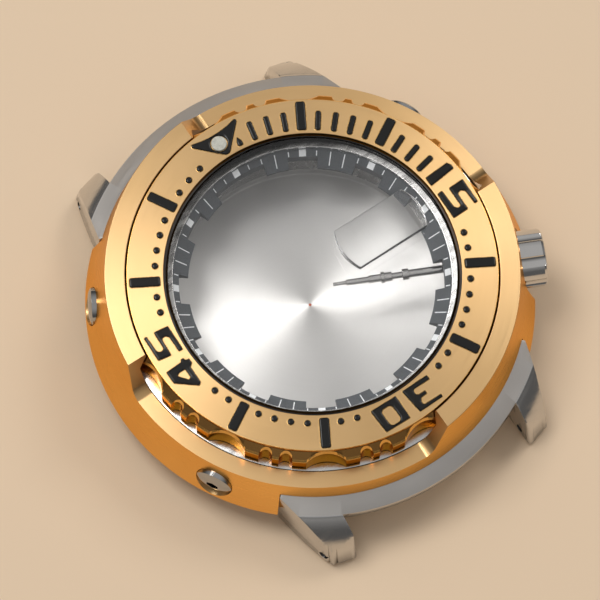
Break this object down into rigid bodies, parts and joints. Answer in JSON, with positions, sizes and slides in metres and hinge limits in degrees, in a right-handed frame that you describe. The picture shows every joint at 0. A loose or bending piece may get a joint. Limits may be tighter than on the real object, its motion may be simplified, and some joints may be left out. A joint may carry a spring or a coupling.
{
  "type": "wristwatch case",
  "caption": "Empty diver's watch case: steel body with lugs, turning grip bezel, guard shroud, crystal with date lens, crown with stem, and screw-in back.",
  "frame": {"origin": "centre of the case back's flat outer face, on the case axis", "axes": "+Z from the case back up through the crystal, +Y towards 12 o'clock, +X towards 3 o'clock"},
  "size_m": [0.048, 0.051, 0.0138],
  "materials": {
    "mid_case": "brushed",
    "shroud": "matt gold coating",
    "shroud_screws": "polished",
    "bezel": "matt gold top, polished sides",
    "bezel_click_spring": "plain",
    "bezel_gasket": "matt",
    "bezel_markers": "glossy enamel",
    "lume_pip": "pale luminous",
    "crystal": "polished",
    "crystal_gasket": "translucent",
    "date_magnifier": "polished",
    "chapter_ring": "matt slate",
    "caseback": "turned",
    "caseback_gasket": "matt",
    "crown_tube": "turned",
    "crown": "polished",
    "crown_gasket": "matt",
    "crown_spring": "plain",
    "stem_sleeve": "turned",
    "winding_stem": "turned"
  },
  "bodies": {
    "caseback": {"caseback": "caseback"},
    "case": {"mid_case": "mid_case", "shroud": "shroud", "shroud_screws": "shroud_screws", "bezel_click_spring": "bezel_click_spring", "bezel_gasket": "bezel_gasket", "crystal": "crystal", "crystal_gasket": "crystal_gasket", "date_magnifier": "date_magnifier", "chapter_ring": "chapter_ring", "caseback_gasket": "caseback_gasket", "crown_tube": "crown_tube"},
    "bezel": {"bezel": "bezel", "bezel_markers": "bezel_markers", "lume_pip": "lume_pip"},
    "crown_carrier": {"crown_spring": "crown_spring", "crown_gasket": "crown_gasket"},
    "crown": {"crown": "crown", "stem_sleeve": "stem_sleeve", "winding_stem": "winding_stem"}
  },
  "joints": [
    {"name": "caseback_release", "type": "slide", "parent": "caseback", "child": "case", "axis": [0, 0, 1], "range_m": [0, 0.012]},
    {"name": "bezel_turn", "type": "hinge", "parent": "case", "child": "bezel", "pos_m": [0, 0, 0.0115], "axis": [0, 0, 1], "continuous": true},
    {"name": "crown_pull", "type": "slide", "parent": "case", "child": "crown_carrier", "axis": [0.9063, -0.4226, 0], "range_m": [0, 0.0029]},
    {"name": "crown_turn", "type": "hinge", "parent": "crown_carrier", "child": "crown", "pos_m": [0.0205, -0.00956, 0.0074], "axis": [0.9063, -0.4226, 0], "continuous": true}
  ]
}
